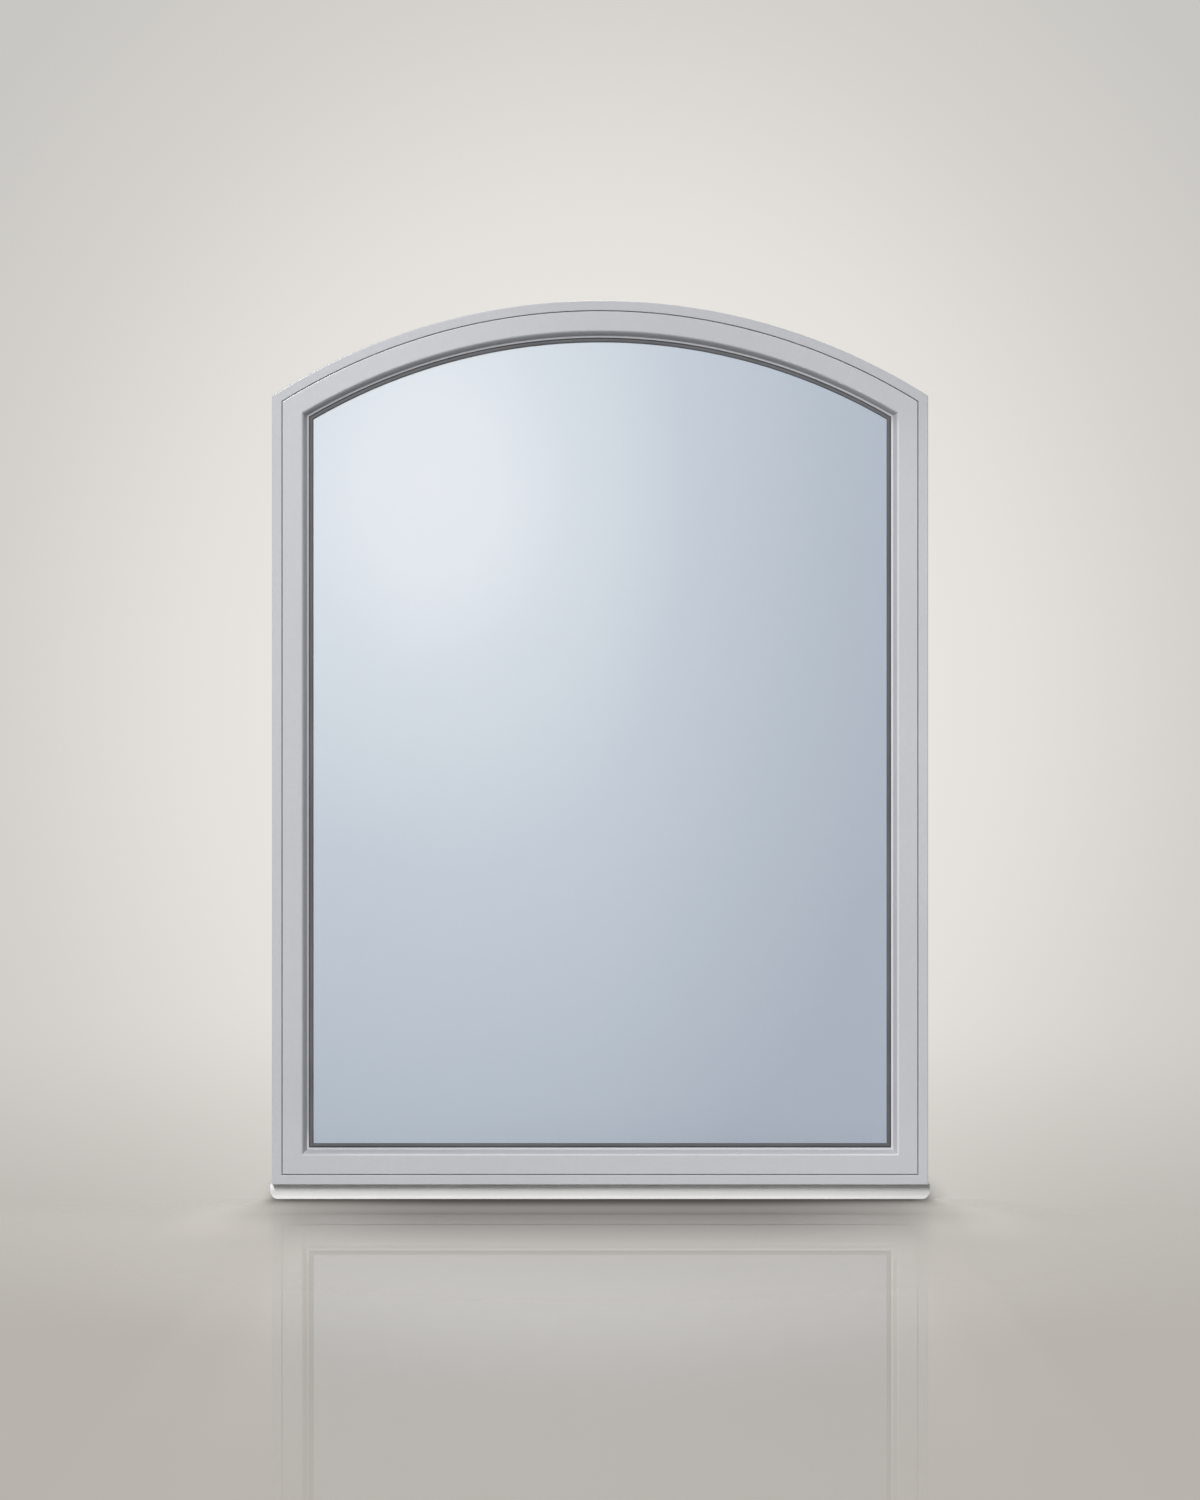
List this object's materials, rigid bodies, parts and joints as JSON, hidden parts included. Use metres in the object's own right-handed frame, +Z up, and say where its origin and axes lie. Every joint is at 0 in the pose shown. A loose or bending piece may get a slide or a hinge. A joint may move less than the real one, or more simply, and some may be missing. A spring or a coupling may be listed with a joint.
{
  "type": "fixed window with arched top",
  "caption": "Fixed double-glazed window with a segmental arched head, a metal-clad frame and sash, and a white sub-sill.",
  "frame": {"origin": "underside of the sub-sill, at the middle of the width and at mid-depth of the frame", "axes": "+Z up, +X across the window to the right seen from outside, -Y towards the outside"},
  "size_m": [1.228, 0.116, 1.6714],
  "materials": {
    "grey_cladding": "satin powder coat, light grey",
    "painted_timber": "satin paint on timber, light grey",
    "white_sill": "satin white paint on timber",
    "glass": "clear, with a blue-grey reflection",
    "black_rubber": "matt black",
    "dark_plastic": "matt dark grey",
    "spacer_metal": "satin"
  },
  "bodies": {
    "root": {"sub_sill": "white_sill", "frame_jamb_left": "painted_timber", "frame_jamb_right": "painted_timber", "frame_head": "painted_timber", "frame_bottom": "painted_timber", "frame_cladding_left": "grey_cladding", "frame_cladding_right": "grey_cladding", "frame_cladding_head": "grey_cladding", "frame_cladding_bottom": "grey_cladding", "sash_stile_left": "painted_timber", "sash_stile_right": "painted_timber", "sash_top_rail": "painted_timber", "sash_bottom_rail": "painted_timber", "sash_cladding_left": "grey_cladding", "sash_cladding_right": "grey_cladding", "sash_cladding_head": "grey_cladding", "sash_cladding_bottom": "grey_cladding", "outer_pane": "glass", "inner_pane": "glass", "spacer_bar": "spacer_metal", "edge_seal": "black_rubber", "setting_blocks": "dark_plastic", "outer_gasket_left": "black_rubber", "outer_gasket_right": "black_rubber", "outer_gasket_head": "black_rubber", "outer_gasket_bottom": "black_rubber", "inner_gasket_left": "black_rubber", "inner_gasket_right": "black_rubber", "inner_gasket_head": "black_rubber", "inner_gasket_bottom": "black_rubber", "glazing_bead_left": "painted_timber", "glazing_bead_right": "painted_timber", "glazing_bead_head": "painted_timber", "glazing_bead_bottom": "painted_timber", "weatherstrip_left": "black_rubber", "weatherstrip_right": "black_rubber", "weatherstrip_head": "black_rubber", "weatherstrip_bottom": "black_rubber", "sash_packers": "dark_plastic"}
  },
  "joints": []
}
